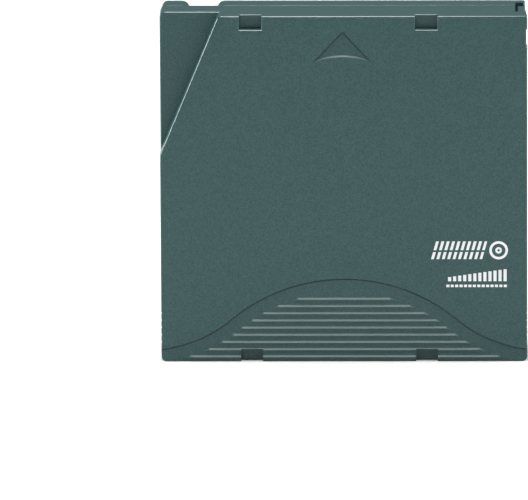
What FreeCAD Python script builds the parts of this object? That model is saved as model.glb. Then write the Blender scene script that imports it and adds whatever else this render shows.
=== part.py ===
import FreeCAD, Part
import math
import os
import Sketcher

# Half-inch single-reel data tape cartridge, 105.4 x 102.0 x 21.5 mm.
# Every piece is drawn lying flat: x runs across the case, y from the rear edge
# (0) to the leading edge (102), z from the hub side (0) to the arrow side (21.5).
# Each piece's Placement then stands it on its rear edge: (x, y, z) becomes
# (x, 10.75 - z, y), so +Z is the loading direction and the arrow side faces -Y.

V = FreeCAD.Vector
doc = FreeCAD.newDocument("tape_cartridge")
sheet = doc.addObject("Spreadsheet::Sheet", "Dims")

# ---------------------------------------------------------------- dimensions
TABLE = [
    # case
    ("case_w", 105.4), ("case_len", 102.0), ("case_th", 21.5),
    ("part_z", 7.3), ("wall", 2.0), ("corner_rad", 1.5), ("door_corner_rad", 0.7),
    ("edge_rad", 0.45), ("hub_edge_rad", 0.6),
    # reel
    ("axis_x", -1.23), ("axis_y", 51.0), ("flange_rad", 48.3), ("flange_th", 1.3),
    ("flange_lo", 2.9), ("flange_up", 17.1), ("hub_rad", 22.0), ("hub_bore", 18.5),
    ("tape_gap", 0.12), ("pack_rad", 46.7), ("hub_open_rad", 17.8), ("hub_ring_rad", 17.3),
    ("ring_lo", 0.9), ("floor_top", 4.9), ("face_top", 5.9),
    ("drive_teeth", 60), ("brake_teeth", 36),
    # drive plate
    ("plate_out", 13.2), ("plate_in", 8.5), ("plate_lo", 1.9),
    # release pad and brake
    ("pad_rad", 7.2), ("pad_lo", 5.1), ("pad_up", 5.7), ("foot_rad", 1.5), ("foot_hole", 1.75),
    ("foot_pcr", 4.8), ("foot_lo", 1.4), ("brake_lo", 6.2), ("brake_up", 8.4), ("brake_rad", 17.0),
    ("boss_rad", 5.2), ("boss_up", 15.2), ("socket_w", 5.4), ("socket_lo", 9.2),
    ("post_w", 5.0), ("post_lo", 11.4), ("ball_rad", 1.2), ("ball_z", 7.0),
    ("spring_rad", 6.6), ("spring_wire", 0.45), ("spring_turns", 5),
    # arrow side: grip field bounded by a convex arc and two concave arcs
    ("grip_depth", 0.5), ("curve_top", 24.6), ("curve_rad", 50.0), ("flank_rad", 39.0),
    ("flank_x", 57.6), ("rib_foot_inset", 3.7), ("rib_top_inset", 4.15), ("rib_pitch", 2.13), ("rib_first", 1.90),
    ("rib_front", 0.50), ("rib_land", 0.22), ("rib_back", 0.10), ("rib_up", 0.46), ("rib_count", 9),
    # arrow
    ("arrow_depth", 0.45), ("arrow_tip", 97.5), ("arrow_half", 7.9), ("arrow_foot", 89.0),
    ("arrow_rise", 1.45), ("arrow_x", -0.28),
    # corner recess and edge notches
    ("wedge_floor", 15.44), ("wedge_x1", -36.1), ("wedge_y1", 101.3), ("wedge_x2", -52.7),
    ("wedge_y2", 61.3), ("notch_depth", 2.3), ("notch_back", 97.98), ("notch_rear", 3.78),
    ("notch_lx1", -29.75), ("notch_lx2", -23.44), ("notch_rx1", 20.65), ("notch_rx2", 26.95),
    # hub-side shell: sides that lean in towards the hub side, its corners, and the bevelled seam
    ("side_draft", 0.35), ("hub_corner_rad", 1.8), ("seam_cut", 0.15), ("corner_x", 52.1),
    ("corner_step_rad", 0.7),
    # fine lines along the arrow's sides and the grip field's step
    ("line_w", 0.3), ("line_depth", 0.25),
    # hub-side location slot at the leading edge
    ("slot_x1", -44.3), ("slot_x2", -36.5), ("slot_mouth", 2.3), ("slot_back", 90.0),
    # access door and its track
    ("door_x1", 50.2), ("door_x2", 51.6), ("door_y1", 79.0), ("door_y2", 98.8),
    ("door_z1", 1.95), ("door_z2", 16.85), ("track_gap", 0.15), ("track_y1", 61.0),
    ("window_y1", 80.0), ("window_z1", 3.0), ("window_z2", 15.5), ("guide_x", 48.9),
    ("key_x", 49.25), ("door_travel", 17.0), ("nose_x1", 49.88), ("nose_x2", 52.0), ("nose_y1", 97.4),
    ("nose_y2", 101.75), ("nose_z1", 7.4), ("nose_z2", 15.4), ("lip_x", 51.5), ("key_z", 3.9),
    ("dspring_x", 50.9), ("dspring_z", 18.2), ("dspring_rad", 0.72), ("dspring_wire", 0.14),
    ("dspring_y1", 39.5), ("dspring_y2", 78.8), ("dspring_turns", 18),
    # leader pin
    ("pin_x", 45.8), ("pin_y", 92.0), ("pin_rad", 1.5), ("pin_end_rad", 1.9),
    ("pin_lo", 2.3), ("pin_up", 19.2), ("clip_rad", 2.3), ("tape_w", 12.65),
    # write-protect switch
    ("sw_x1", -47.0), ("sw_x2", -33.4), ("sw_y1", 2.15), ("sw_y2", 3.7), ("sw_z1", 7.0),
    ("sw_z2", 14.4), ("tab_x1", -41.6), ("tab_x2", -38.8), ("tab_z1", 8.6), ("tab_z2", 12.8),
    ("win_x1", -42.0), ("win_x2", -33.4), ("win_z1", 8.2), ("win_z2", 13.2),
    # memory chip board across the rear corner
    ("mem_x1", 26.0), ("mem_x2", 44.0), ("mem_len", 10.0), ("mem_th", 0.8), ("mem_sum", 11.3),
    # screws
    ("screw_rad", 1.1), ("screw_head", 2.0), ("screw_headth", 1.5), ("screw_z", 0.5), ("screw_len", 10.5),
    ("post_rad", 2.7), ("cbore_rad", 2.25), ("cbore_z", 2.0),
]
for i, (name, value) in enumerate(TABLE):
    sheet.set("A%d" % (i + 1), name)
    sheet.set("B%d" % (i + 1), repr(value))
    sheet.setAlias("B%d" % (i + 1), name)
doc.recompute()


class Q:
    """A length that carries both its number and its spreadsheet expression."""

    def __init__(self, v, e):
        self.v = float(v)
        self.e = e

    def _join(self, other, op, flip=False):
        other = q(other)
        a, b = (other, self) if flip else (self, other)
        v = {"+": lambda: a.v + b.v, "-": lambda: a.v - b.v,
             "*": lambda: a.v * b.v, "/": lambda: a.v / b.v}[op]()
        return Q(v, "(%s %s %s)" % (a.e, op, b.e))

    def __add__(self, o): return self._join(o, "+")
    def __radd__(self, o): return self._join(o, "+", True)
    def __sub__(self, o): return self._join(o, "-")
    def __rsub__(self, o): return self._join(o, "-", True)
    def __mul__(self, o): return self._join(o, "*")
    def __rmul__(self, o): return self._join(o, "*", True)
    def __truediv__(self, o): return self._join(o, "/")
    def __neg__(self): return Q(-self.v, "(-1 * %s)" % self.e)


def q(x):
    return x if isinstance(x, Q) else Q(x, "%.6f" % x if x >= 0 else "(-1 * %.6f)" % -x)


class Table:
    def __getattr__(self, name):
        return Q(float(sheet.get(name)), "Dims." + name)


D = Table()
half_w = D.case_w / 2


def role(body, name):
    for o in body.Origin.OriginFeatures:
        if o.Role == name:
            return o


def new_body(label, at_axis=False):
    b = doc.addObject("PartDesign::Body", label)
    b.Label = label
    place(b, at_axis)
    return b


def place(obj, at_axis=False):
    """Stand a flat-drawn piece on the rear edge; reel pieces also move to the reel axis."""
    x, y = (D.axis_x, D.axis_y) if at_axis else (q(0), q(0))
    obj.Placement = FreeCAD.Placement(V(x.v, D.case_th.v / 2, y.v), FreeCAD.Rotation(V(1, 0, 0), 90))
    obj.setExpression("Placement.Base.x", x.e)
    obj.setExpression("Placement.Base.y", (D.case_th / 2).e)
    obj.setExpression("Placement.Base.z", y.e)


def sketch(body, plane="XY_Plane", off=None):
    s = body.newObject("Sketcher::SketchObject", body.Label + "_sketch")
    s.AttachmentSupport = [(role(body, plane), "")]
    s.MapMode = "FlatFace"
    if off is not None:
        s.setExpression("AttachmentOffset.Base.z", q(off).e)
    return s


def pin_point(s, geo, pos, x, y):
    """Tie one point of a sketch to the sheet by its distances from the origin."""
    x, y = q(x), q(y)
    k = s.addConstraint(Sketcher.Constraint("DistanceX", -1, 1, geo, pos, x.v))
    s.setExpression("Constraints[%d]" % k, x.e)
    k = s.addConstraint(Sketcher.Constraint("DistanceY", -1, 1, geo, pos, y.v))
    s.setExpression("Constraints[%d]" % k, y.e)


def poly(s, pts):
    n = len(pts)
    pts = [(q(x), q(y)) for x, y in pts]
    first = s.GeometryCount
    for i in range(n):
        a, b = pts[i], pts[(i + 1) % n]
        s.addGeometry(Part.LineSegment(V(a[0].v, a[1].v, 0), V(b[0].v, b[1].v, 0)), False)
    for i in range(n):
        s.addConstraint(Sketcher.Constraint("Coincident", first + i, 2, first + (i + 1) % n, 1))
    for i in range(n):
        pin_point(s, first + i, 1, pts[i][0], pts[i][1])


def rect(s, x1, x2, y1, y2):
    poly(s, [(x1, y1), (x2, y1), (x2, y2), (x1, y2)])


def circle(s, x, y, r):
    x, y, r = q(x), q(y), q(r)
    g = s.addGeometry(Part.Circle(V(x.v, y.v, 0), V(0, 0, 1), r.v), False)
    pin_point(s, g, 3, x, y)
    k = s.addConstraint(Sketcher.Constraint("Radius", g, r.v))
    s.setExpression("Constraints[%d]" % k, r.e)


def pad(body, s, length, mid=False, taper=None):
    f = body.newObject("PartDesign::Pad", body.Label + "_pad")
    f.Profile = s
    f.setExpression("Length", q(length).e)
    if mid:
        f.SideType = "Symmetric"
    if taper:
        f.TaperAngle = taper
    doc.recompute()
    return f


def cut(body, s, length, up=False, taper=None):
    """Pocket from the sketch plane: down (-z) by default, or up; must remove material."""
    before = body.Shape.Volume
    f = body.newObject("PartDesign::Pocket", body.Label + "_cut")
    f.Profile = s
    f.setExpression("Length", q(length).e)
    f.Reversed = up
    if taper:
        f.TaperAngle = taper
    doc.recompute()
    if not f.Shape.isNull() and f.Shape.Volume > before - 1e-6:
        raise RuntimeError("a pocket of %s removed nothing" % body.Label)
    return f


def pad_box(body, x1, x2, y1, y2, z1, z2):
    s = sketch(body, off=z1)
    rect(s, x1, x2, y1, y2)
    return pad(body, s, q(z2) - q(z1))


def cut_box(body, x1, x2, y1, y2, z1, z2):
    s = sketch(body, off=z1)
    rect(s, x1, x2, y1, y2)
    return cut(body, s, q(z2) - q(z1), up=True)


def pad_rod(body, x, y, r, z1, z2):
    s = sketch(body, off=z1)
    circle(s, x, y, r)
    return pad(body, s, q(z2) - q(z1))


def cut_rod(body, x, y, r, z1, z2):
    s = sketch(body, off=z1)
    circle(s, x, y, r)
    return cut(body, s, q(z2) - q(z1), up=True)


def revolve(body, pts):
    """Turn an (r, z) outline about the body's z axis."""
    s = sketch(body, "XZ_Plane")
    poly(s, pts)
    f = body.newObject("PartDesign::Revolution", body.Label + "_turned")
    f.Profile = s
    f.ReferenceAxis = (role(body, "Z_Axis"), [""])
    f.Angle = 360
    doc.recompute()
    return f


def polar(body, feature, count):
    f = body.newObject("PartDesign::PolarPattern", body.Label + "_ring")
    f.Originals = [feature]
    f.Axis = (role(body, "Z_Axis"), [""])
    f.Angle = 360
    f.Occurrences = int(q(count).v)
    f.setExpression("Occurrences", q(count).e)
    body.Tip = f
    doc.recompute()
    return f


def fillet(body, pick, radius, must=True):
    """Round the edges that pick() chooses on the body's last feature; returns how many."""
    base = body.Tip
    names = ["Edge%d" % (i + 1) for i, e in enumerate(base.Shape.Edges) if pick(e)]
    if not names:
        if must:
            raise RuntimeError("no edges to round on " + body.Label)
        return 0
    f = body.newObject("PartDesign::Fillet", body.Label + "_round")
    f.Base = (base, names)
    f.setExpression("Radius", q(radius).e)
    doc.recompute()
    if f.State != ["Up-to-date"] or f.Shape.isNull() or not f.Shape.isValid():
        if must:
            raise RuntimeError("rounding failed on %s: %s" % (body.Label, names))
        body.removeObject(f)
        doc.removeObject(f.Name)
        body.Tip = base
        doc.recompute()
        return 0
    return len(names)


def flat_edge(e, z, tol=1e-4):
    """True for an edge that lies at height z in the flat frame."""
    bb = e.BoundBox
    return abs(bb.ZMin - z) < tol and abs(bb.ZMax - z) < tol


def upright(e, x, y, tol=0.02):
    bb = e.BoundBox
    return (bb.ZLength > 0.5 and bb.XLength < tol and bb.YLength < tol
            and abs(bb.Center.x - x) < tol and abs(bb.Center.y - y) < tol)


HW, LEN, TH = half_w.v, D.case_len.v, D.case_th.v

# screw positions: x, y, and the ceiling that the arrow-side boss hangs from
SCREWS = [(-47.0, 10.2), (47.2, 7.0), (-47.6, 83.6), (31.6, 96.2)]
inner_top = D.case_th - D.wall


def grip_points(inset):
    """Centres, radii and tangent point of the grip field's boundary, moved inwards."""
    r1 = D.curve_rad.v - inset
    r2 = D.flank_rad.v + inset
    c1y = D.curve_top.v - D.curve_rad.v
    cx = D.flank_x.v
    c2y = c1y + math.sqrt((D.curve_rad.v + D.flank_rad.v) ** 2 - cx ** 2)
    k = r1 / (r1 + r2)
    return c1y, r1, cx, c2y, r2, (cx * k, c1y + (c2y - c1y) * k)


def grip_face(inset, x_lim, y_lim):
    """Face of the grip field: the bell-shaped boundary closed below y_lim."""
    c1y, r1, cx, c2y, r2, tp = grip_points(inset)
    far = x_lim
    fy = c2y - math.sqrt(r2 * r2 - (cx - far) ** 2)
    ma = math.atan2(tp[1] - c2y, tp[0] - cx)
    mb = math.atan2(fy - c2y, far - cx)
    mid = (ma + mb) / 2
    mp = V(cx + r2 * math.cos(mid), c2y + r2 * math.sin(mid), 0)
    top = V(0, c1y + r1, 0)
    a = V(tp[0], tp[1], 0)
    b = V(far, fy, 0)
    am, bm, mm = V(-a.x, a.y, 0), V(-b.x, b.y, 0), V(-mp.x, mp.y, 0)
    edges = [Part.Arc(am, top, a).toShape(), Part.Arc(a, mp, b).toShape()]
    if fy > y_lim + 1e-6:
        c, cm = V(far, y_lim, 0), V(-far, y_lim, 0)
        edges += [Part.LineSegment(b, c).toShape(), Part.LineSegment(c, cm).toShape(),
                  Part.LineSegment(cm, bm).toShape()]
    else:
        edges += [Part.LineSegment(b, bm).toShape()]
    edges += [Part.Arc(bm, mm, am).toShape()]
    return Part.Face(Part.Wire(Part.__sortEdges__(edges)))


def solid_feature(label, shape):
    f = doc.addObject("Part::Feature", label)
    f.Shape = Part.makeCompound(shape.Solids)      # the pieces keep their place in the flat frame
    return f


# ---------------------------------------------------------------- arrow-side shell
up = new_body("upper_shell_body")
pad_box(up, -half_w, half_w, 0, D.case_len, D.part_z, D.case_th)
fillet(up, lambda e: any(upright(e, x, y) for x, y in ((-HW, 0), (HW, 0), (-HW, LEN))), D.corner_rad)
fillet(up, lambda e: upright(e, HW, LEN), D.door_corner_rad)

# corner recess that guides the cartridge in the right way round
wx1, wy1, wx2, wy2 = D.wedge_x1, D.wedge_y1, D.wedge_x2, D.wedge_y2
slope = (wx1 - wx2) / (wy1 - wy2)
s = sketch(up, off=D.case_th)
poly(s, [(wx1 + slope * 6, wy1 + 6), (wx2 - slope * 6, wy2 - 6), (wx2 - 8, wy2 - 6), (wx2 - 8, wy1 + 6)])
cut(up, s, D.case_th - D.wedge_floor)
fillet(up, lambda e: e.BoundBox.ZLength > 5 and e.BoundBox.XLength < 0.01 and e.BoundBox.YLength < 0.01
       and abs(e.BoundBox.Center.x + 35.8) < 1.0 and abs(e.BoundBox.Center.y - LEN) < 0.1, q(1.2))

# square notches in the leading and rear edges
for x1, x2 in ((D.notch_lx1, D.notch_lx2), (D.notch_rx1, D.notch_rx2)):
    cut_box(up, x1, x2, D.notch_back, D.case_len + 3, D.case_th - D.notch_depth, D.case_th + 1)
    cut_box(up, x1, x2, -3, D.notch_rear, D.case_th - D.notch_depth, D.case_th + 1)

# shallow flat in the side beside the door, and the stepped grips low on both sides
cut_box(up, half_w - 0.3, half_w + 2, 92.7, 98.0, D.part_z, D.case_th)

fillet(up, lambda e: flat_edge(e, TH), D.edge_rad)
for x1, x2 in ((D.notch_lx1.v, D.notch_lx2.v), (D.notch_rx1.v, D.notch_rx2.v)):
    fillet(up, lambda e: flat_edge(e, TH - D.notch_depth.v) and e.BoundBox.YLength < 0.01
           and (abs(e.BoundBox.YMax - LEN) < 0.01 or abs(e.BoundBox.YMax) < 0.01)
           and abs(e.BoundBox.Center.x - (x1 + x2) / 2) < 0.5, q(0.3), must=False)

# inside: reel chamber, with a lower ceiling under the corner recess
inner_x = half_w - D.wall
s = sketch(up, off=D.part_z)
k = 1.7
poly(s, [(-inner_x, D.wall), (inner_x, D.wall), (inner_x, D.case_len - D.wall), (-inner_x, D.case_len - D.wall)])
cut(up, s, D.wedge_floor - 1.6 - D.part_z, up=True)
s = sketch(up, off=D.wedge_floor - 1.6)
poly(s, [(-inner_x, D.wall), (inner_x, D.wall), (inner_x, D.case_len - D.wall),
         (wx1 + slope * (D.case_len - D.wall - wy1) + k, D.case_len - D.wall),
         (-inner_x, wy2 + (wx2 * -1 - inner_x) / slope - q(k) / slope)])
cut(up, s, D.case_th - D.wall - (D.wedge_floor - 1.6), up=True)

# thicker ceiling behind the four edge notches
for x1, x2 in ((D.notch_lx1, D.notch_lx2), (D.notch_rx1, D.notch_rx2)):
    z1 = D.case_th - D.notch_depth - 1.5
    pad_box(up, x1 - 1.5, x2 + 1.5, D.notch_back - 1.5, D.case_len - D.wall, z1, inner_top)
    pad_box(up, x1 - 1.5, x2 + 1.5, D.wall, D.notch_rear + 1.5, z1, inner_top)
    # the notch floors stay level where the thicker ceiling would stand above them
    cut_box(up, x1, x2, D.notch_back, D.case_len - D.wall, D.case_th - D.notch_depth, inner_top + 0.5)
    cut_box(up, x1, x2, D.wall, D.notch_rear, D.case_th - D.notch_depth, inner_top + 0.5)

# screw bosses with pilot holes
for i, (x, y) in enumerate(SCREWS):
    top = D.wedge_floor - 1.6 if i == 2 else inner_top
    pad_rod(up, x, y, D.post_rad, D.part_z, top)
    cut_rod(up, x, y, D.screw_rad + 0.02, D.part_z, q(11.6))

# roof over the hub-side location slot
pad_box(up, D.slot_x1 - 1.5, D.slot_x2 + 1.5, D.slot_back - 1.5, D.case_len - D.wall, D.part_z, D.part_z + 1.5)

# square post for the brake, and the seat ring of its spring
pad_box(up, D.axis_x - D.post_w / 2, D.axis_x + D.post_w / 2, D.axis_y - D.post_w / 2, D.axis_y + D.post_w / 2,
        D.post_lo, inner_top)
s = sketch(up, off=q(18.0))
circle(s, D.axis_x, D.axis_y, 8.8)
circle(s, D.axis_x, D.axis_y, 7.6)
pad(up, s, inner_top - 18.0)

# door track: inner guide, slot, window, and the channel of the door spring
pad_box(up, D.guide_x, half_w - D.wall, q(38.0), q(100.0), D.part_z, inner_top)
cut_box(up, D.door_x1 - D.track_gap, D.door_x2 + D.track_gap, D.track_y1, D.door_y2 + 0.4,
        D.part_z, D.door_z2 + D.track_gap)
cut_box(up, D.guide_x - 0.5, half_w + 1, D.window_y1, D.door_y2 + 0.4, D.part_z, D.window_z2)
cut_box(up, D.key_x, half_w + 1, D.door_y2 + 0.2, D.case_len + 1, D.part_z, D.window_z2)
cut_box(up, D.dspring_x - 0.95, D.dspring_x + 0.95, q(39.0), q(81.4), D.dspring_z - 0.95, D.dspring_z + 0.95)
cut_box(up, D.dspring_x - 0.6, D.dspring_x + 0.6, q(61.5), q(81.3), D.door_z2 - 0.2, D.dspring_z)

# write-protect window, its guide wall and the rail over the slider
cut_box(up, D.win_x1, D.win_x2, -1, D.wall + 0.1, D.win_z1, D.win_z2)
pad_box(up, q(-48.0), q(-27.0), q(3.95), q(4.9), D.part_z, inner_top)
pad_box(up, q(-50.7), q(-27.0), D.wall, q(4.9), D.sw_z2 + 0.2, inner_top)

# hold-down rib over the memory board
s = sketch(up, "YZ_Plane", off=q(30.5))
poly(s, [(D.wall, inner_top), (6.0, inner_top), (6.0, 7.5), (5.25, 7.5), (D.wall, 10.75)])
pad(up, s, 1.2)

# horseshoe seat for the upper end of the leader pin
s = sketch(up, off=q(17.9))
circle(s, D.pin_x - 0.0, D.pin_y, 3.0)
circle(s, D.pin_x, D.pin_y, 2.15)
pad(up, s, inner_top - 17.9)
cut_box(up, D.pin_x, D.guide_x, D.pin_y - 2.0, D.pin_y + 2.0, q(17.9), inner_top)

# shallow field for a label on the rear face
cut_box(up, q(-31.0), q(39.0), -1, q(0.3), D.part_z, q(18.2))

# grip field, its ribs, the arrow and the side grips
shell = up.Shape.copy()
shell.Placement = FreeCAD.Placement()
T = D.case_th.v
gd = D.grip_depth.v
field = grip_face(0.0, HW + 1.0, -1.0)
field.translate(V(0, 0, T - gd))
field = field.extrude(V(0, 0, gd + 1))
shell = shell.cut(field)


def soften(shape, pick, radius):
    """Round the chosen edges of a shape where that leaves a valid solid."""
    edges = [e for e in shape.Edges if pick(e)]
    try:
        out = shape.makeFillet(radius, edges)
        if edges and out.isValid() and 0 < shape.Volume - out.Volume < 30:
            return out
    except Exception:
        pass
    print("not rounded:", len(edges), "edges")
    return shape


# outer edge of the corner recess, from the leading face round the corner and down the side
shell = soften(shell, lambda e: flat_edge(e, D.wedge_floor.v) and e.BoundBox.YMin > LEN - 0.01, D.edge_rad.v)
shell = soften(shell, lambda e: flat_edge(e, T - gd) and e.BoundBox.YMax < 3.6
               and (e.BoundBox.YMax < 0.01 or abs(e.BoundBox.XMax) > HW - 0.01 or abs(e.BoundBox.XMin) > HW - 0.01), 0.35)
shell = soften(shell, lambda e: flat_edge(e, T) and 2.5 < e.BoundBox.YMin < 13 and e.BoundBox.YLength > 5, 0.14)
# the ribs end along the boundary, on walls that slope from the floor up to the rib tops
z0 = T - gd
a, b, c, u = D.rib_front.v, D.rib_land.v, D.rib_back.v, D.rib_up.v
foot_in, top_in = D.rib_foot_inset.v, D.rib_top_inset.v
lean = (top_in - foot_in) / u
ends = []
for inset, z in ((foot_in - 0.2 * lean, z0 - 0.2), (top_in + 0.1 * lean, z0 + u + 0.1)):
    outline = grip_face(inset, HW + 1.0, -2.0).OuterWire
    outline.translate(V(0, 0, z))
    ends.append(outline)
rib_area = Part.makeLoft(ends, True, True)
if not rib_area.isValid() or rib_area.Volume < 100:
    raise RuntimeError("the rib field is not a valid solid")
ribs = []
for i in range(int(D.rib_count.v)):
    y = D.rib_first.v + D.rib_pitch.v * i          # foot of the slope facing the leading edge
    back = max(0.12, y - a - b - c)
    pts = [V(-HW, y, z0 - 0.2), V(-HW, y, z0), V(-HW, y - a, z0 + u), V(-HW, y - a - b, z0 + u),
           V(-HW, back, z0), V(-HW, back, z0 - 0.2)]
    ribs.append(Part.Face(Part.makePolygon(pts + pts[:1])).extrude(V(2 * HW, 0, 0)))
ribs = Part.makeCompound(ribs).common(rib_area)
for x1, x2 in ((D.notch_lx1.v, D.notch_lx2.v), (D.notch_rx1.v, D.notch_rx2.v)):
    ribs = ribs.cut(Part.makeBox(x2 - x1, D.notch_rear.v + 1.0, 5, V(x1, -1, T - 3)))
shell = shell.fuse(ribs.Solids)
# triangle that points to the leading edge, with a hollow base line
tip, foot, hw2, rise, sunk = D.arrow_tip.v, D.arrow_foot.v, D.arrow_half.v, D.arrow_rise.v, D.arrow_depth.v


def triangle(z, down):
    """Outline of the arrow at height z, with its base lower by down on the same two side lines."""
    half, base_y = hw2 * (tip - foot + down) / (tip - foot), foot - down
    return Part.Wire([
        Part.LineSegment(V(-half, base_y, z), V(0, tip, z)).toShape(),
        Part.LineSegment(V(0, tip, z), V(half, base_y, z)).toShape(),
        Part.Arc(V(half, base_y, z), V(0, base_y + rise, z), V(-half, base_y, z)).toShape()])


# its base slopes up to the face; a fine line is cut along the foot of its two sides
arrow = Part.makeLoft([triangle(T - sunk, 0.0), triangle(T + 0.2, sunk + 0.2)], True, True)
lw, ld = D.line_w.v, D.line_depth.v
dx = lw * math.hypot(hw2, tip - foot) / (tip - foot)
dy = lw * math.hypot(hw2, tip - foot) / hw2
zl = T - sunk - ld
fine = Part.Face(Part.makePolygon([V(-hw2, foot, zl), V(0, tip, zl), V(hw2, foot, zl), V(hw2 - dx, foot, zl),
                                   V(0, tip - dy, zl), V(-hw2 + dx, foot, zl), V(-hw2, foot, zl)]))
fine = fine.extrude(V(0, 0, ld + 0.05)).common(Part.Face(triangle(zl, 0.0)).extrude(V(0, 0, ld + 0.05)))
arrow.translate(V(D.arrow_x.v, 0, 0))
fine.translate(V(D.arrow_x.v, 0, 0))
# the same fine line along the foot of the step round the grip field
rim = grip_face(0.0, HW + 1.0, -1.0).extrude(V(0, 0, ld + 0.05))
rim = rim.cut(grip_face(lw, HW + 1.5, -2.0).extrude(V(0, 0, ld + 0.05)))
rim.translate(V(0, 0, T - gd - ld))
lined = shell.cut(rim)
if lined.isValid() and len(lined.Solids) == 1 and 1 < shell.Volume - lined.Volume < 40:
    shell = lined
else:
    print("no fine line round the grip field", shell.Volume - lined.Volume)
# slope above the door opening, on the outer side
lip = Part.Face(Part.makePolygon([V(HW - 0.55, 79.9, 15.45), V(HW + 0.5, 79.9, 15.45), V(HW + 0.5, 79.9, 19.5),
                                  V(HW, 79.9, 17.9), V(HW - 0.55, 79.9, 15.45)]))
shell = shell.cut(lip.extrude(V(0, 24, 0)))
# at the very corner the slope is deeper
deep = Part.Face(Part.makePolygon([V(51.65, 99.3, 15.3), V(HW + 0.5, 99.3, 15.3), V(HW + 0.5, 99.3, 19.9),
                                   V(HW, 99.3, 19.2), V(52.3, 99.3, 17.0), V(51.65, 99.3, 15.3)]))
shell = shell.cut(deep.extrude(V(0, 5, 0)))
shell = shell.cut(arrow)
shell = shell.cut(fine)
for sx in (-1, 1):
    for i in range(2, 7):
        y = D.rib_first.v + D.rib_pitch.v * i
        g = Part.makePolygon([V(sx * (HW + 0.2), y + 0.25, 0), V(sx * (HW - 0.3), y - 0.1, 0),
                              V(sx * (HW + 0.2), y - 0.9, 0), V(sx * (HW + 0.2), y + 0.25, 0)])
        g = Part.Face(g)
        g.translate(V(0, 0, D.part_z.v))
        shell = shell.cut(g.extrude(V(0, 0, T)))
shell = shell.removeSplitter()
upper = solid_feature("upper_shell", shell.Solids[0] if len(shell.Solids) == 1 else shell)
place(upper)

# ---------------------------------------------------------------- hub-side shell
lo = new_body("lower_shell_body")
s = sketch(lo, "XZ_Plane")
poly(s, [(-half_w + D.side_draft, 0), (half_w - D.side_draft, 0), (half_w, D.part_z), (-half_w, D.part_z)])
base = pad(lo, s, D.case_len)
if base.Shape.CenterOfMass.y < 0:
    base.Reversed = True
    doc.recompute()
if abs(base.Shape.CenterOfMass.y - LEN / 2) > 0.01:
    raise RuntimeError("the hub-side block does not lie between the rear and leading edges")


def leaning(e, x, y):
    """True for the edge of a leaning side that stands at the corner x, y."""
    bb = e.BoundBox
    return (bb.ZLength > 5 and bb.YLength < 0.02 and bb.XLength < 0.5
            and abs(bb.Center.x - x) < 0.4 and abs(bb.Center.y - y) < 0.02)


fillet(lo, lambda e: any(leaning(e, x, y) for x, y in ((-HW, 0), (HW, 0), (-HW, LEN))), D.hub_corner_rad)
# location slot, its mouth rounded into the leading face
s = sketch(lo, off=q(0))
rect(s, D.slot_x1, D.slot_x2, D.slot_back, D.case_len + 2)
cut(lo, s, D.part_z, up=True)
fillet(lo, lambda e: upright(e, D.slot_x1.v, LEN) or upright(e, D.slot_x2.v, LEN), D.slot_mouth)
fillet(lo, lambda e: upright(e, D.slot_x1.v, D.slot_back.v) or upright(e, D.slot_x2.v, D.slot_back.v), q(1.0))
fillet(lo, lambda e: flat_edge(e, 0.0), D.hub_edge_rad)
# reel chamber
s = sketch(lo, off=D.wall)
poly(s, [(-inner_x, D.wall), (inner_x, D.wall), (inner_x, D.case_len - D.wall),
         (D.slot_x2 + 1.6, D.case_len - D.wall), (D.slot_x2 + 1.6, D.slot_back - 1.5),
         (D.slot_x1 - 1.6, D.slot_back - 1.5), (D.slot_x1 - 1.6, D.case_len - D.wall),
         (-inner_x, D.case_len - D.wall)])
cut(lo, s, D.part_z - D.wall, up=True)
# hub opening with a raised lip inside and a shallow ring outside
s = sketch(lo, off=D.wall)
circle(s, D.axis_x, D.axis_y, D.hub_open_rad + 1.5)
pad(lo, s, 0.5)
cut_rod(lo, D.axis_x, D.axis_y, D.hub_open_rad, -0.5, D.wall + 1)
s = sketch(lo, off=q(0))
circle(s, D.axis_x, D.axis_y, 27.0)
circle(s, D.axis_x, D.axis_y, 20.4)
cut(lo, s, 0.35, up=True)
# screw posts, counterbores
for i, (x, y) in enumerate(SCREWS):
    pad_rod(lo, x, y, D.post_rad, D.wall, D.part_z)
    cut_rod(lo, x, y, D.screw_rad + 0.15, -0.5, D.part_z + 0.1)
    cut_rod(lo, x, y, D.cbore_rad, -0.5, D.cbore_z)
# door track
pad_box(lo, D.guide_x, half_w - D.wall, D.track_y1 - 1, q(100.0), D.wall, D.part_z)
cut_box(lo, D.door_x1 - D.track_gap, D.door_x2 + D.track_gap, D.track_y1, D.door_y2 + 0.4,
        D.door_z1 - D.track_gap, D.part_z)
cut_box(lo, D.guide_x - 0.5, half_w + 1, D.window_y1, D.door_y2 + 0.4, D.window_z1, D.part_z + 1)
cut_box(lo, D.key_x, D.lip_x, D.door_y2 + 0.2, D.case_len + 1, D.key_z, D.part_z + 1)
# ledge under the write-protect slider, and its back rail
pad_box(lo, q(-50.7), q(-27.0), D.wall, q(4.9), D.wall, D.sw_z1 - 0.15)
# cradle ribs of the memory board
for x in (28.0, 40.8):
    s = sketch(lo, "YZ_Plane", off=q(x))
    poly(s, [(D.wall, D.wall), (D.mem_sum - D.wall, D.wall), (D.mem_sum - D.part_z, D.part_z), (D.wall, D.part_z)])
    pad(lo, s, 1.2)
# horseshoe seat for the lower end of the leader pin
s = sketch(lo, off=D.wall)
circle(s, D.pin_x, D.pin_y, 3.0)
circle(s, D.pin_x, D.pin_y, 2.15)
pad(lo, s, 1.5)
cut_box(lo, D.pin_x, D.guide_x, D.pin_y - 2.0, D.pin_y + 2.0, D.wall, D.wall + 1.6)
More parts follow.
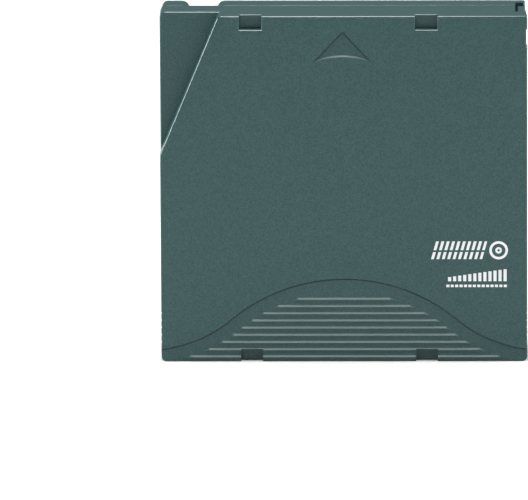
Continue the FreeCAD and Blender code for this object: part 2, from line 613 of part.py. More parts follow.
# label field
cut_box(lo, q(-31.0), q(39.0), -1, q(0.3), q(3.0), D.part_z + 1)
low = lo.Shape.copy()
low.Placement = FreeCAD.Placement()
for sx in (-1, 1):
    for i in range(2, 7):
        y = D.rib_first.v + D.rib_pitch.v * i
        g = Part.makePolygon([V(sx * (HW + 0.2), y + 0.25, 0), V(sx * (HW - 0.3), y - 0.1, 0),
                              V(sx * (HW + 0.2), y - 0.9, 0), V(sx * (HW + 0.2), y + 0.25, 0)])
        g = Part.Face(g)
        g.translate(V(0, 0, 1.6))
        low = low.cut(g.extrude(V(0, 0, D.part_z.v)))
# the side steps in at the door's end, to a rounded corner, and the outer edge of the seam is bevelled
cx, cr = D.corner_x.v, D.corner_step_rad.v
off45 = cr * (1 - math.sqrt(0.5))
around = [V(cx - cr, LEN, -1), V(cx - cr, 104, -1), V(HW + 1, 104, -1), V(HW + 1, 98.2, -1), V(HW, 98.2, -1),
          V(cx, 99.3, -1), V(cx, LEN - cr, -1)]
step = [Part.LineSegment(p, r).toShape() for p, r in zip(around, around[1:])]
step.append(Part.Arc(around[-1], V(cx - off45, LEN - off45, -1), around[0]).toShape())
low = low.cut(Part.Face(Part.Wire(step)).extrude(V(0, 0, D.part_z.v + 2)))
low = low.removeSplitter()
seam = [e for e in low.Edges if flat_edge(e, D.part_z.v)
        and (e.BoundBox.YMin > LEN - 0.01 or e.BoundBox.YMax < 0.01 or e.BoundBox.XMax < -HW + 0.01
             or (e.BoundBox.XMin > HW - 0.01 and e.BoundBox.YMax < 81))]
try:
    bevelled = low.makeChamfer(D.seam_cut.v, seam)
    if bevelled.isValid() and 0 < low.Volume - bevelled.Volume < 20:
        low = bevelled
    else:
        print("seam not bevelled")
except Exception:
    print("seam not bevelled")
lower = solid_feature("lower_shell", low.Solids[0] if len(low.Solids) == 1 else low)
place(lower)

# ---------------------------------------------------------------- screws, one group
heads = []
for x, y in SCREWS:
    z0 = D.screw_z.v
    hr, hh, sr = D.screw_head.v, D.screw_headth.v, D.screw_rad.v
    prof = [V(0, 0, z0 + 0.55), V(0.75, 0, z0 + 0.55), V(0.75, 0, z0), V(hr - 0.25, 0, z0), V(hr, 0, z0 + 0.35),
            V(hr, 0, z0 + hh), V(sr, 0, z0 + hh), V(sr, 0, z0 + D.screw_len.v - 0.8),
            V(0.35, 0, z0 + D.screw_len.v), V(0, 0, z0 + D.screw_len.v)]
    body = Part.Face(Part.makePolygon(prof + prof[:1])).revolve(V(0, 0, 0), V(0, 0, 1), 360)
    for a in (0, 60, 120):
        lobe = Part.makeBox(2.1, 0.42, 0.6, V(-1.05, -0.21, z0 - 0.05))
        lobe.rotate(V(0, 0, 0), V(0, 0, 1), a)
        body = body.cut(lobe)
    body.translate(V(x, y, 0))
    heads.append(body)
screws = solid_feature("case_screws", Part.makeCompound(heads))
place(screws)

# ---------------------------------------------------------------- access door
door = new_body("access_door")
pad_box(door, D.door_x1, D.door_x2, D.door_y1, D.door_y2, D.door_z1, D.door_z2)
# lug that the spring pushes, and the nose that fills the case's corner, where the drive catches it
pad_box(door, D.dspring_x - 0.45, D.dspring_x + 0.45, D.door_y1, D.door_y1 + 2.0, D.door_z2, D.dspring_z + 0.7)
pad_box(door, D.nose_x1, D.nose_x2, D.nose_y1, D.nose_y2, D.nose_z1, D.nose_z2)
fillet(door, lambda e: upright(e, D.nose_x2.v, D.nose_y2.v) or upright(e, D.nose_x1.v, D.nose_y2.v), q(0.4), must=False)
# finger grooves across the outer face
s = sketch(door, "XY_Plane", off=q(5.0))
for i in range(3):
    y = 84.5 + 1.4 * i
    rect(s, D.door_x2 - 0.25, D.door_x2 + 1, q(y), q(y + 0.6))
cut(door, s, q(8.5), up=True)


def helix(radius, wire, height, turns):
    """Coil of round wire about z from z = 0 to z = height."""
    line = Part.makeHelix(height / turns, height, radius)
    start = line.Edges[0].valueAt(line.Edges[0].FirstParameter)
    tang = line.Edges[0].tangentAt(line.Edges[0].FirstParameter)
    ring = Part.Wire([Part.makeCircle(wire, start, tang)])
    return Part.Wire(line.Edges).makePipeShell([ring], True, True)


# door return spring, in its channel along the side
coil = helix(D.dspring_rad.v, D.dspring_wire.v, D.dspring_y2.v - D.dspring_y1.v - 0.4, int(D.dspring_turns.v))
coil.rotate(V(0, 0, 0), V(1, 0, 0), -90)
coil.translate(V(D.dspring_x.v, D.dspring_y1.v + 0.2, D.dspring_z.v))
place(solid_feature("door_spring", coil))

# ---------------------------------------------------------------- write-protect switch
sw = new_body("write_protect_switch")
pad_box(sw, D.sw_x1, D.sw_x2, D.sw_y1, D.sw_y2, D.sw_z1, D.sw_z2)
pad_box(sw, D.tab_x1, D.tab_x2, q(0.35), D.sw_y1, D.tab_z1, D.tab_z2)
s = sketch(sw, off=D.tab_z1)
for i in range(2):
    x = D.tab_x1 + 0.65 + 0.9 * i
    rect(s, x, x + 0.4, q(0.0), q(0.75))
cut(sw, s, D.tab_z2 - D.tab_z1, up=True)

# ---------------------------------------------------------------- cartridge memory
mem = new_body("memory_board")
c = 1 / math.sqrt(2)
lo_y, lo_z = D.wall.v + 0.15, D.mem_sum.v - D.wall.v - 0.15
L = D.mem_len.v * c
s = sketch(mem, "YZ_Plane", off=D.mem_x1)
t = D.mem_th.v * c
poly(s, [(lo_y, lo_z), (lo_y + L, lo_z - L), (lo_y + L + t, lo_z - L + t), (lo_y + t, lo_z + t)])
pad(mem, s, D.mem_x2 - D.mem_x1)


def on_board(shape):
    """Lay a flat piece on the board's outer slanted face (x along the board)."""
    shape.rotate(V(0, 0, 0), V(1, 0, 0), -45)
    mid = V((D.mem_x1.v + D.mem_x2.v) / 2, lo_y + L / 2 + t, lo_z - L / 2 + t)
    shape.translate(mid)
    return shape


chip = Part.makeBox(2.6, 2.2, 0.6, V(-1.3, -1.1, 0))
chip = chip.makeFillet(0.12, [e for e in chip.Edges if e.BoundBox.ZMin > 0.59])
place(solid_feature("memory_chip", on_board(chip)))
outer = Part.makeBox(16.4, 8.4, 0.12, V(-8.2, -4.2, 0))
outer = outer.makeFillet(1.2, [e for e in outer.Edges if abs(e.BoundBox.ZLength - 0.12) < 1e-6])
inner = Part.makeBox(13.6, 5.6, 1, V(-6.8, -2.8, -0.4))
inner = inner.makeFillet(0.6, [e for e in inner.Edges if abs(e.BoundBox.ZLength - 1) < 1e-6])
place(solid_feature("memory_antenna", on_board(outer.cut(inner))))

# ---------------------------------------------------------------- leader pin, clip, spring, free tape
pin = new_body("leader_pin")
pr, er = D.pin_rad, D.pin_end_rad
revolve(pin, [(0, D.pin_lo), (er - 0.3, D.pin_lo), (er, D.pin_lo + 0.3), (er, D.pin_lo + 1.0),
              (pr - 0.5, D.pin_lo + 1.0), (pr - 0.5, D.pin_lo + 1.7), (pr, D.pin_lo + 1.7),
              (pr, D.pin_up - 1.7), (pr - 0.5, D.pin_up - 1.7), (pr - 0.5, D.pin_up - 1.0), (er, D.pin_up - 1.0),
              (er, D.pin_up - 0.3), (er - 0.3, D.pin_up), (0, D.pin_up)])
pin.setExpression("Placement.Base.x", D.pin_x.e)
pin.setExpression("Placement.Base.z", D.pin_y.e)

tape_z1 = D.flange_lo.v + D.flange_th.v + D.tape_gap.v
clip = Part.makeCylinder(D.clip_rad.v, D.tape_w.v, V(0, 0, 0)).cut(Part.makeCylinder(D.pin_rad.v + 0.02, 20, V(0, 0, -1)))
clip = clip.cut(Part.makeBox(1.6, 5, 20, V(-0.8, 0.0, -1)))
clip = clip.cut(Part.makeBox(0.3, 5, 20, V(-0.15, -5.0, -1)))
clip.translate(V(D.pin_x.v, D.pin_y.v, tape_z1))
clip_solids = sorted(clip.Solids, key=lambda b: b.BoundBox.XMin)
place(solid_feature("leader_clip", Part.makeCompound(clip_solids)))

strip = Part.makeBox(0.16, D.pin_y.v - D.pin_rad.v - 0.35 - D.axis_y.v, D.tape_w.v,
                     V(D.pin_x.v - 0.08, D.axis_y.v, tape_z1))
place(solid_feature("tape_leader", strip))

# wire spring that holds both ends of the pin in their seats
w = 0.3
bx, by = D.pin_x.v - 3.7, D.pin_y.v + 4.6
path = [V(D.pin_x.v + 0.4, D.pin_y.v + 2.75, 3.85), V(bx, by, 3.85), V(bx, by, 17.55), V(D.pin_x.v + 0.4, D.pin_y.v + 2.75, 17.55)]
wire = []
for i in range(3):
    seg = path[i + 1] - path[i]
    wire.append(Part.makeCylinder(w, seg.Length, path[i], seg))
for p in path[1:3]:
    wire.append(Part.makeSphere(w, p))
spring = wire[0].fuse(wire[1:])
place(solid_feature("pin_spring", spring.Solids[0] if len(spring.Solids) == 1 else spring))

# ---------------------------------------------------------------- reel: hub with lower flange and teeth
hub = new_body("reel_hub", True)
f_top = D.flange_lo + D.flange_th
revolve(hub, [(0, D.flange_lo), (D.plate_out + 0.4, D.flange_lo), (D.plate_out + 0.4, D.ring_lo + 0.3),
              (D.plate_out + 0.7, D.ring_lo), (D.hub_ring_rad - 0.3, D.ring_lo), (D.hub_ring_rad, D.ring_lo + 0.3),
              (D.hub_ring_rad, D.flange_lo), (D.flange_rad, D.flange_lo), (D.flange_rad, f_top),
              (D.hub_rad, f_top), (D.hub_rad, D.flange_up), (D.hub_bore, D.flange_up),
              (D.hub_bore, D.floor_top), (16.7, D.floor_top), (16.7, D.face_top), (13.3, D.face_top),
              (13.3, D.floor_top), (0, D.floor_top)])
# three holes for the feet of the release pad
s = sketch(hub, off=D.flange_lo - 0.5)
for a in (90, 210, 330):
    circle(s, D.foot_pcr * math.cos(math.radians(a)), D.foot_pcr * math.sin(math.radians(a)), D.foot_hole)
cut(hub, s, q(3.0), up=True)
# stakes that hold the drive plate
s = sketch(hub, off=D.plate_lo - 0.15)
for a in (30, 150, 270):
    circle(s, q(10.9 * math.cos(math.radians(a))), q(10.9 * math.sin(math.radians(a))), q(0.9))
pad(hub, s, D.flange_lo - D.plate_lo + 0.15)


def slot_cut(r1, r2, half_deg, z, depth, up_dir):
    """One radial groove, wider outside, about the x axis."""
    a = math.tan(math.radians(half_deg))
    s = sketch(hub, off=z)
    poly(s, [(q(r1), q(-r1 * a)), (q(r2), q(-r2 * a)), (q(r2), q(r2 * a)), (q(r1), q(r1 * a))])
    return cut(hub, s, depth, up=up_dir)


g = slot_cut(13.2, 17.8, 1.75, D.ring_lo - 0.1, q(1.15), True)
polar(hub, g, D.drive_teeth)
g = slot_cut(13.0, 17.0, 2.7, D.face_top, q(1.0), False)
polar(hub, g, D.brake_teeth)

fl = new_body("upper_flange", True)
revolve(fl, [(D.hub_bore, D.flange_up), (D.flange_rad, D.flange_up), (D.flange_rad, D.flange_up + D.flange_th),
             (D.hub_bore, D.flange_up + D.flange_th)])

plate = new_body("drive_plate", True)
revolve(plate, [(D.plate_in, D.plate_lo + 0.12), (D.plate_in + 0.12, D.plate_lo), (D.plate_out - 0.12, D.plate_lo),
                (D.plate_out, D.plate_lo + 0.12), (D.plate_out, D.flange_lo), (D.plate_in, D.flange_lo)])
s = sketch(plate, off=D.plate_lo - 0.5)
for a in (30, 150, 270):
    circle(s, q(10.9 * math.cos(math.radians(a))), q(10.9 * math.sin(math.radians(a))), q(0.96))
cut(plate, s, q(2.0), up=True)

tp = new_body("tape_pack", True)
z1 = f_top + D.tape_gap
revolve(tp, [(D.hub_rad + 0.02, z1), (D.pack_rad, z1), (D.pack_rad, z1 + D.tape_w), (D.hub_rad + 0.02, z1 + D.tape_w)])

# ---------------------------------------------------------------- release pad and brake
rp = new_body("release_pad", True)
pad_rod(rp, q(0), q(0), D.pad_rad, D.pad_lo, D.pad_up)
s = sketch(rp, off=D.foot_lo)
for a in (90, 210, 330):
    circle(s, D.foot_pcr * math.cos(math.radians(a)), D.foot_pcr * math.sin(math.radians(a)), D.foot_rad)
pad(rp, s, D.pad_lo - D.foot_lo)
fillet(rp, lambda e: flat_edge(e, D.foot_lo.v), q(0.3), must=False)

br = new_body("brake_button", True)
revolve(br, [(0, D.ball_z + 1.3), (D.ball_rad + 0.05, D.ball_z + 1.3), (D.ball_rad + 0.05, D.brake_lo),
             (D.brake_rad, D.brake_lo), (D.brake_rad, D.brake_up), (D.boss_rad, D.brake_up),
             (D.boss_rad, D.boss_up), (0, D.boss_up)])
sk = sketch(br, off=D.boss_up)
rect(sk, -D.socket_w / 2, D.socket_w / 2, -D.socket_w / 2, D.socket_w / 2)
cut(br, sk, D.boss_up - D.socket_lo)
a = math.tan(math.radians(2.1))
s = sketch(br, off=D.brake_lo - 1.0)
r1, r2 = 13.6, 16.4
off = math.radians(0.0)
poly(s, [(q(r1), q(-r1 * a)), (q(r2), q(-r2 * a)), (q(r2), q(r2 * a)), (q(r1), q(r1 * a))])
tooth = pad(br, s, q(1.0))
polar(br, tooth, D.brake_teeth)

ball = doc.addObject("Part::Sphere", "thrust_ball")
ball.Label = "thrust_ball"
ball.setExpression("Radius", D.ball_rad.e)
ball.Placement = FreeCAD.Placement(V(D.axis_x.v, D.case_th.v / 2 - D.ball_z.v, D.axis_y.v), FreeCAD.Rotation(V(1, 0, 0), 90))
ball.setExpression("Placement.Base.x", D.axis_x.e)
ball.setExpression("Placement.Base.y", (D.case_th / 2 - D.ball_z).e)
ball.setExpression("Placement.Base.z", D.axis_y.e)

coil = helix(D.spring_rad.v, D.spring_wire.v, 10.0, int(D.spring_turns.v))
coil.translate(V(0, 0, D.brake_up.v + 0.55))
place(solid_feature("brake_spring", coil), True)

# ---------------------------------------------------------------- check and write
doc.recompute()
for o in doc.Objects:
    if "Invalid" in o.State or "Error" in o.State:
        raise RuntimeError("%s is %s" % (o.Name, o.State))

NODES = ["upper_shell", "lower_shell", "case_screws", "access_door", "door_spring", "write_protect_switch",
         "memory_board", "memory_chip", "memory_antenna", "leader_pin", "leader_clip", "tape_leader", "pin_spring",
         "reel_hub", "upper_flange", "drive_plate", "tape_pack", "release_pad", "brake_button", "thrust_ball",
         "brake_spring"]
os.makedirs("parts", exist_ok=True)
made = {}
for n in NODES:
    obj = [o for o in doc.Objects if o.Label == n][0]
    shp = obj.Shape
    if shp.isNull() or not shp.isValid() or not shp.Solids:
        raise RuntimeError("%s has no valid solid" % n)
    made[n] = shp
    bb = shp.BoundBox
    print("%-22s solids %2d  volume %10.2f  x %.2f..%.2f  y %.2f..%.2f  z %.2f..%.2f" % (
        n, len(shp.Solids), shp.Volume, bb.XMin, bb.XMax, bb.YMin, bb.YMax, bb.ZMin, bb.ZMax))
for n, shp in made.items():
    shp.exportStep("parts/%s.step" % n)
print("written", len(made))
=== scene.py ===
import math

import bpy
import numpy as np
from mathutils import Matrix, Vector


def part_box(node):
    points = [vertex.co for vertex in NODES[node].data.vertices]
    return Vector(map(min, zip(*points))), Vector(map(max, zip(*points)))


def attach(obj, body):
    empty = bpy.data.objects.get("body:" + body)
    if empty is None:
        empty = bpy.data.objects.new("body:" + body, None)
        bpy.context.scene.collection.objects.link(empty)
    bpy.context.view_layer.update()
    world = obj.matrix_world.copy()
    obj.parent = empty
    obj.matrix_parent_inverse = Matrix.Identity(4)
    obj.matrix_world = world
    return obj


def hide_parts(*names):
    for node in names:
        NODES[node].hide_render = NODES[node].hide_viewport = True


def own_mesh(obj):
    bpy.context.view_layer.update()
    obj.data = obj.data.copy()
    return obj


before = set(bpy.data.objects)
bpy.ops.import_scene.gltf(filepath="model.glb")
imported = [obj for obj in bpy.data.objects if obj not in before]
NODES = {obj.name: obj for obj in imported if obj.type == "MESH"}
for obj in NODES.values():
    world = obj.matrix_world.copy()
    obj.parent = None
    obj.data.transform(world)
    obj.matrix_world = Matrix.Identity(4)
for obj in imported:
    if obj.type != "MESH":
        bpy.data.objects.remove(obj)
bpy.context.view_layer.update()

AXIS_X, AXIS_Z = -0.00123, 0.051          # the reel's axis, parallel to Y
SCENE = bpy.context.scene


# ---------------------------------------------------------------- node helpers
class S:
    """A socket of a node tree, with arithmetic that adds Math nodes."""

    def __init__(self, tree, sock):
        self.tree = tree
        self.sock = sock

    def _op(self, op, *others, flip=False):
        n = self.tree.nodes.new("ShaderNodeMath")
        n.operation = op
        args = [self, *others]
        if flip:
            args.reverse()
        for i, a in enumerate(args):
            if isinstance(a, S):
                self.tree.links.new(a.sock, n.inputs[i])
            else:
                n.inputs[i].default_value = float(a)
        return S(self.tree, n.outputs[0])

    def __add__(self, o): return self._op("ADD", o)
    def __radd__(self, o): return self._op("ADD", o)
    def __sub__(self, o): return self._op("SUBTRACT", o)
    def __rsub__(self, o): return self._op("SUBTRACT", o, flip=True)
    def __mul__(self, o): return self._op("MULTIPLY", o)
    def __rmul__(self, o): return self._op("MULTIPLY", o)
    def __truediv__(self, o): return self._op("DIVIDE", o)
    def lt(self, o): return self._op("LESS_THAN", o)
    def gt(self, o): return self._op("GREATER_THAN", o)
    def frac(self): return self._op("FRACT")
    def floor(self): return self._op("FLOOR")
    def abs(self): return self._op("ABSOLUTE")
    def sqrt(self): return self._op("SQRT")
    def sin(self): return self._op("SINE")
    def atan2(self, o): return self._op("ARCTAN2", o)
    def max(self, o): return self._op("MAXIMUM", o)
    def min(self, o): return self._op("MINIMUM", o)

    def within(self, a, b):
        return self.gt(a) * self.lt(b)

    def span(self, in0, in1, out0, out1):
        n = self.tree.nodes.new("ShaderNodeMapRange")
        n.clamp = True
        self.tree.links.new(self.sock, n.inputs["Value"])
        for k, v in (("From Min", in0), ("From Max", in1), ("To Min", out0), ("To Max", out1)):
            n.inputs[k].default_value = v
        return S(self.tree, n.outputs["Result"])


class Finish:
    """A Principled material built from noises and shapes in the object's own coordinates."""

    def __init__(self, name, specular=0.5, metallic=0.0, coat=0.0, coat_rough=0.2, aniso=0.0):
        self.m = bpy.data.materials.new(name)
        self.m.use_nodes = True
        self.t = self.m.node_tree
        self.b = self.t.nodes["Principled BSDF"]
        self.b.inputs["Specular IOR Level"].default_value = specular
        self.b.inputs["Metallic"].default_value = metallic
        self.b.inputs["Coat Weight"].default_value = coat
        self.b.inputs["Coat Roughness"].default_value = coat_rough
        self.b.inputs["Anisotropic"].default_value = aniso
        self.co = self.t.nodes.new("ShaderNodeTexCoord")
        self.sep = self.t.nodes.new("ShaderNodeSeparateXYZ")
        self.t.links.new(self.co.outputs["Object"], self.sep.inputs[0])
        self.x, self.y, self.z = (S(self.t, self.sep.outputs[i]) * 1000 for i in range(3))   # millimetres
        self.last_bump = None

    def noise(self, size_mm, detail=2.0, rough=0.5, stretch=(1, 1, 1), shift=0.0, at=None):
        mp = self.t.nodes.new("ShaderNodeMapping")
        mp.inputs["Scale"].default_value = stretch
        mp.inputs["Location"].default_value = (shift, shift * 0.7, shift * 0.3)
        if at is None:
            self.t.links.new(self.co.outputs["Object"], mp.inputs["Vector"])
            k = 1000.0 / size_mm
        else:
            self.t.links.new(at, mp.inputs["Vector"])
            k = 1.0 / size_mm
        n = self.t.nodes.new("ShaderNodeTexNoise")
        n.inputs["Scale"].default_value = k
        n.inputs["Detail"].default_value = detail
        n.inputs["Roughness"].default_value = rough
        self.t.links.new(mp.outputs[0], n.inputs["Vector"])
        return S(self.t, n.outputs["Fac"])

    def mix(self, fac, a, b):
        """a and b are colours or sockets."""
        n = self.t.nodes.new("ShaderNodeMix")
        n.data_type = "RGBA"
        if isinstance(fac, S):
            self.t.links.new(fac.sock, n.inputs["Factor"])
        else:
            n.inputs["Factor"].default_value = fac
        for sock, v in ((n.inputs[6], a), (n.inputs[7], b)):
            if hasattr(v, "is_linked"):
                self.t.links.new(v, sock)
            else:
                sock.default_value = (*v, 1.0)
        return n.outputs[2]

    def colour(self, sock):
        self.t.links.new(sock, self.b.inputs["Base Color"])

    def rough(self, s):
        self.t.links.new(s.sock, self.b.inputs["Roughness"])

    def bump(self, height, dist_mm, strength=1.0):
        n = self.t.nodes.new("ShaderNodeBump")
        n.inputs["Strength"].default_value = strength
        n.inputs["Distance"].default_value = dist_mm / 1000.0
        self.t.links.new(height.sock, n.inputs["Height"])
        if self.last_bump is not None:
            self.t.links.new(self.last_bump, n.inputs["Normal"])
        self.last_bump = n.outputs["Normal"]
        self.t.links.new(self.last_bump, self.b.inputs["Normal"])

    def radius(self):
        """Distance from the reel's axis in millimetres, and the angle round it."""
        dx = self.x - AXIS_X * 1000
        dz = self.z - AXIS_Z * 1000
        return (dx * dx + dz * dz).sqrt(), dz.atan2(dx)

    def edges(self, low=0.06, high=0.3):
        """1 on roundings and chamfers, whose normals point along no axis of the part, and 0 on its flats."""
        tc = self.t.nodes.new("ShaderNodeSeparateXYZ")
        self.t.links.new(self.co.outputs["Normal"], tc.inputs[0])
        nx, ny, nz = (S(self.t, tc.outputs[i]).abs() for i in range(3))
        return (1 - nx.max(ny).max(nz)).span(low, high, 0.0, 1.0)

    def give(self, *objs):
        for o in objs:
            if not o.material_slots:
                o.data.materials.append(self.m)
            for sl in o.material_slots:
                sl.link = "OBJECT"
                sl.material = self.m
        return self.m


def shade(c, k):
    return tuple(max(0.0, v * k) for v in c)


# ---------------------------------------------------------------- shell plastic
SHELL = (0.0180, 0.0585, 0.0585)
INK = (0.71, 0.73, 0.73)


def print_mask(f):
    """Light print on the flat of the arrow side: a reel ring, slanted bars, a rising scale and a dashed rule."""
    x, z = f.x, f.z
    on_face = f.y.lt(-10.70)
    # first row: ring with a hub, then slanted bars
    rx, rz = x - 44.45, z - 33.05
    r = (rx * rx + rz * rz).sqrt()
    row = r.within(1.95, 2.68).max(r.within(0.35, 0.95))
    lean = x - (z - 30.4) * 0.28
    bars = ((lean - 25.0) / 1.55).frac().lt(0.52) * lean.within(25.0, 39.7) * z.within(30.45, 35.7)
    bars = bars * (1 - z.within(32.55, 33.1))
    row = row.max(bars)
    # second row: bars that rise to the right
    step = (x - 29.9) / 1.45
    top = (step.floor() * 0.21 + 25.15)
    scale = step.frac().lt(0.62) * x.within(29.9, 47.1) * z.gt(23.9) * z.lt(top)
    row = row.max(scale)
    # thin row: dashes
    dash = ((x - 29.4) / 1.27).frac().lt(0.7) * x.within(29.4, 47.2) * z.within(22.15, 22.9)
    return row.max(dash) * on_face


def shell_finish(name, printed):
    f = Finish(name, specular=0.4)
    drift = f.noise(22.0, detail=1.0)
    grain = f.noise(0.42, detail=2.0, rough=0.6)
    specks = f.noise(0.2, detail=1.0, shift=3.1)
    tone = grain * 0.6 + specks * 0.4               # neutral light and dark points of the moulded grain
    slopes = (f.z.within(0.6, 19.6) * f.x.within(-45.0, 45.0)).max(f.z.within(87.5, 91.5) * f.x.within(-9.5, 9.0))
    slopes = slopes * f.y.within(-10.745, -10.15)   # rib slopes and the arrow's base
    roundings_and_slopes = f.edges(0.03, 0.22)
    edge_wear_and_highlight = roundings_and_slopes * (1 - slopes)                  # roundings are smoother and a little paler, partly as edge wear and partly as a painted highlight; slopes are matte
    pits = (SHELL[0] - 0.013, SHELL[1] - 0.020, SHELL[2] - 0.020)
    peaks = (SHELL[0] + 0.013, SHELL[1] + 0.020, SHELL[2] + 0.020)
    out = f.mix(tone.span(0.36, 0.64, 0.0, 1.0), pits, peaks)
    out = f.mix(drift.span(0.3, 0.7, 0.0, 0.06), out, (0.026, 0.064, 0.066))
    arrow_base = slopes * f.z.gt(80.0) * roundings_and_slopes
    # painted highlight: roundings are lightened partly as edge wear and partly as a painted highlight, and the rib
    # slopes and the arrow's base as a painted highlight only
    out = f.mix(edge_wear_and_highlight * 0.25 + roundings_and_slopes * slopes * 0.4, out, (0.055, 0.105, 0.105))
    # painted highlight: the arrow's base slope is painted much paler, a bright line put into its colour
    out = f.mix(arrow_base * 0.8, out, (0.095, 0.150, 0.150))
    rough = grain.span(0.3, 0.7, 0.32, 0.44) * (1 - edge_wear_and_highlight * 0.58) + arrow_base * 0.04
    if printed:
        mask = print_mask(f)
        wear = f.noise(0.25, detail=2.0, shift=7.0).span(0.25, 0.75, 0.93, 1.0)
        out = f.mix(mask * wear, out, INK)
        rough = rough * (1 - mask) + mask * 0.4
    f.colour(out)
    f.rough(rough)
    f.bump(grain, 0.02, 0.6)
    f.bump(specks, 0.006, 0.6)
    return f


shell_finish("shell_printed", True).give(NODES["upper_shell"])
shell_finish("shell_plain", False).give(NODES["lower_shell"])


def plastic(name, colour, specular, size, rough, depth, *nodes, warm=1.0):
    f = Finish(name, specular=specular)
    grain = f.noise(size, detail=2.5)
    drift = f.noise(6.0, detail=1.0, shift=1.7)
    out = f.mix(grain.span(0.3, 0.7, 0.0, 1.0), shade(colour, 0.94), shade(colour, 1.05))
    out = f.mix(drift.span(0.35, 0.65, 0.0, 0.35), out, (colour[0] * 0.97 * warm, colour[1] * 0.96, colour[2] * 0.93))
    f.colour(out)
    f.rough(grain.span(0.3, 0.7, rough - 0.06, rough + 0.07))
    f.bump(grain, depth, 0.6)
    f.give(*[NODES[n] for n in nodes])
    return f


plastic("door_plastic_finish", (0.018, 0.0585, 0.0585), 0.4, 0.42, 0.38, 0.008, "access_door")
plastic("switch_plastic_finish", (0.55, 0.10, 0.04), 0.45, 0.4, 0.38, 0.008, "write_protect_switch")
plastic("pad_plastic_finish", (0.72, 0.71, 0.66), 0.45, 0.5, 0.36, 0.006, "release_pad")
plastic("clip_plastic_finish", (0.56, 0.56, 0.54), 0.45, 0.5, 0.4, 0.006, "leader_clip", "brake_button")

# reel: light grey moulding with faint flow rings about its axis
reel = Finish("reel_plastic_finish", specular=0.45)
r, ang = reel.radius()
grain = reel.noise(0.4, detail=2.5)
rings = (r * 2.4).sin() * 0.5 + 0.5
c = (0.52, 0.53, 0.52)
out = reel.mix(grain.span(0.3, 0.7, 0.0, 1.0), shade(c, 0.93), shade(c, 1.05))
out = reel.mix(rings * 0.12, out, shade(c, 0.86))
reel.colour(out)
reel.rough(grain.span(0.3, 0.7, 0.32, 0.46))
reel.bump(rings, 0.004, 0.5)
reel.bump(grain, 0.006, 0.6)
reel.give(NODES["reel_hub"], NODES["upper_flange"])

# wound tape: dark brown, its edge face striped by the layers
tape = Finish("tape_finish", specular=0.5, coat=0.15, coat_rough=0.15)
r, ang = tape.radius()
comb = tape.t.nodes.new("ShaderNodeCombineXYZ")
tape.t.links.new(r.sock, comb.inputs[0])
layers = tape.noise(0.09, detail=4.0, rough=0.7, at=comb.outputs[0])
pack = tape.noise(1.9, detail=2.0, rough=0.6, at=comb.outputs[0], shift=5.0)
c = (0.034, 0.027, 0.023)
out = tape.mix(layers.span(0.35, 0.65, 0.0, 1.0), shade(c, 0.72), shade(c, 1.35))
out = tape.mix(pack.span(0.45, 0.7, 0.0, 0.6), out, shade(c, 1.7))
tape.colour(out)
tape.rough(layers.span(0.3, 0.7, 0.22, 0.42))
tape.bump(layers, 0.01, 0.6)
tape.give(NODES["tape_pack"], NODES["tape_leader"])


def metal(name, colour, size, stretch, rough, depth, *nodes, tint=None, aniso=0.0):
    f = Finish(name, metallic=1.0, aniso=aniso)
    lines = f.noise(size, detail=3.0, rough=0.6, stretch=stretch)
    cloud = f.noise(2.2, detail=2.0, shift=2.3)
    out = f.mix(lines.span(0.3, 0.7, 0.0, 1.0), shade(colour, 0.86), shade(colour, 1.08))
    if tint is not None:
        out = f.mix(cloud.span(0.4, 0.7, 0.0, 0.5), out, tint)
    f.colour(out)
    f.rough(lines.span(0.3, 0.7, rough - 0.07, rough + 0.1))
    f.bump(lines, depth, 0.5)
    if nodes:
        f.give(*[NODES[n] for n in nodes])
    return f


metal("pin_steel_finish", (0.62, 0.62, 0.62), 0.12, (0.15, 1.0, 0.15), 0.24, 0.002, "leader_pin", "thrust_ball")
metal("screw_steel_finish", (0.44, 0.45, 0.46), 0.3, (1, 1, 1), 0.34, 0.004, "case_screws", tint=(0.50, 0.47, 0.38))
wire = metal("spring_steel_finish", (0.46, 0.46, 0.46), 0.2, (1, 1, 1), 0.28, 0.003, "pin_spring")

# drive plate: turned steel, rings about the reel's axis
plate = Finish("plate_steel_finish", metallic=1.0)
r, ang = plate.radius()
comb = plate.t.nodes.new("ShaderNodeCombineXYZ")
plate.t.links.new(r.sock, comb.inputs[0])
turn = plate.noise(0.16, detail=3.0, rough=0.65, at=comb.outputs[0])
smudge = plate.noise(3.0, detail=2.0, shift=1.1)
out = plate.mix(turn.span(0.3, 0.7, 0.0, 1.0), (0.50, 0.50, 0.485), (0.68, 0.68, 0.66))
out = plate.mix(smudge.span(0.5, 0.75, 0.0, 0.25), out, (0.46, 0.45, 0.42))
plate.colour(out)
plate.rough(turn.span(0.3, 0.7, 0.2, 0.36))
plate.bump(turn, 0.004, 0.7)
plate.give(NODES["drive_plate"])

# memory board, its chip and its coil
board = Finish("board_finish", specular=0.5, coat=0.4, coat_rough=0.18)
weave = (board.x * 9.0).sin() * (board.z * 9.0).sin() * 0.5 + 0.5
blot = board.noise(1.5, detail=2.0)
out = board.mix(weave * 0.35, (0.016, 0.105, 0.05), (0.026, 0.15, 0.075))
out = board.mix(blot.span(0.4, 0.7, 0.0, 0.25), out, (0.02, 0.09, 0.045))
board.colour(out)
board.rough(blot.span(0.3, 0.7, 0.26, 0.38))
board.bump(weave, 0.004, 0.5)
board.give(NODES["memory_board"])

plastic("chip_finish", (0.020, 0.020, 0.021), 0.4, 0.12, 0.5, 0.004, "memory_chip")

copper = Finish("copper_finish", metallic=1.0)
lanes = copper.noise(0.25, detail=2.0)
dull = copper.noise(1.4, detail=2.0, shift=4.0)
out = copper.mix(lanes.span(0.3, 0.7, 0.0, 1.0), (0.62, 0.33, 0.16), (0.78, 0.45, 0.24))
out = copper.mix(dull.span(0.45, 0.75, 0.0, 0.4), out, (0.42, 0.25, 0.15))
copper.colour(out)
copper.rough(lanes.span(0.3, 0.7, 0.24, 0.4))
copper.bump(lanes, 0.002, 0.5)
copper.give(NODES["memory_antenna"])


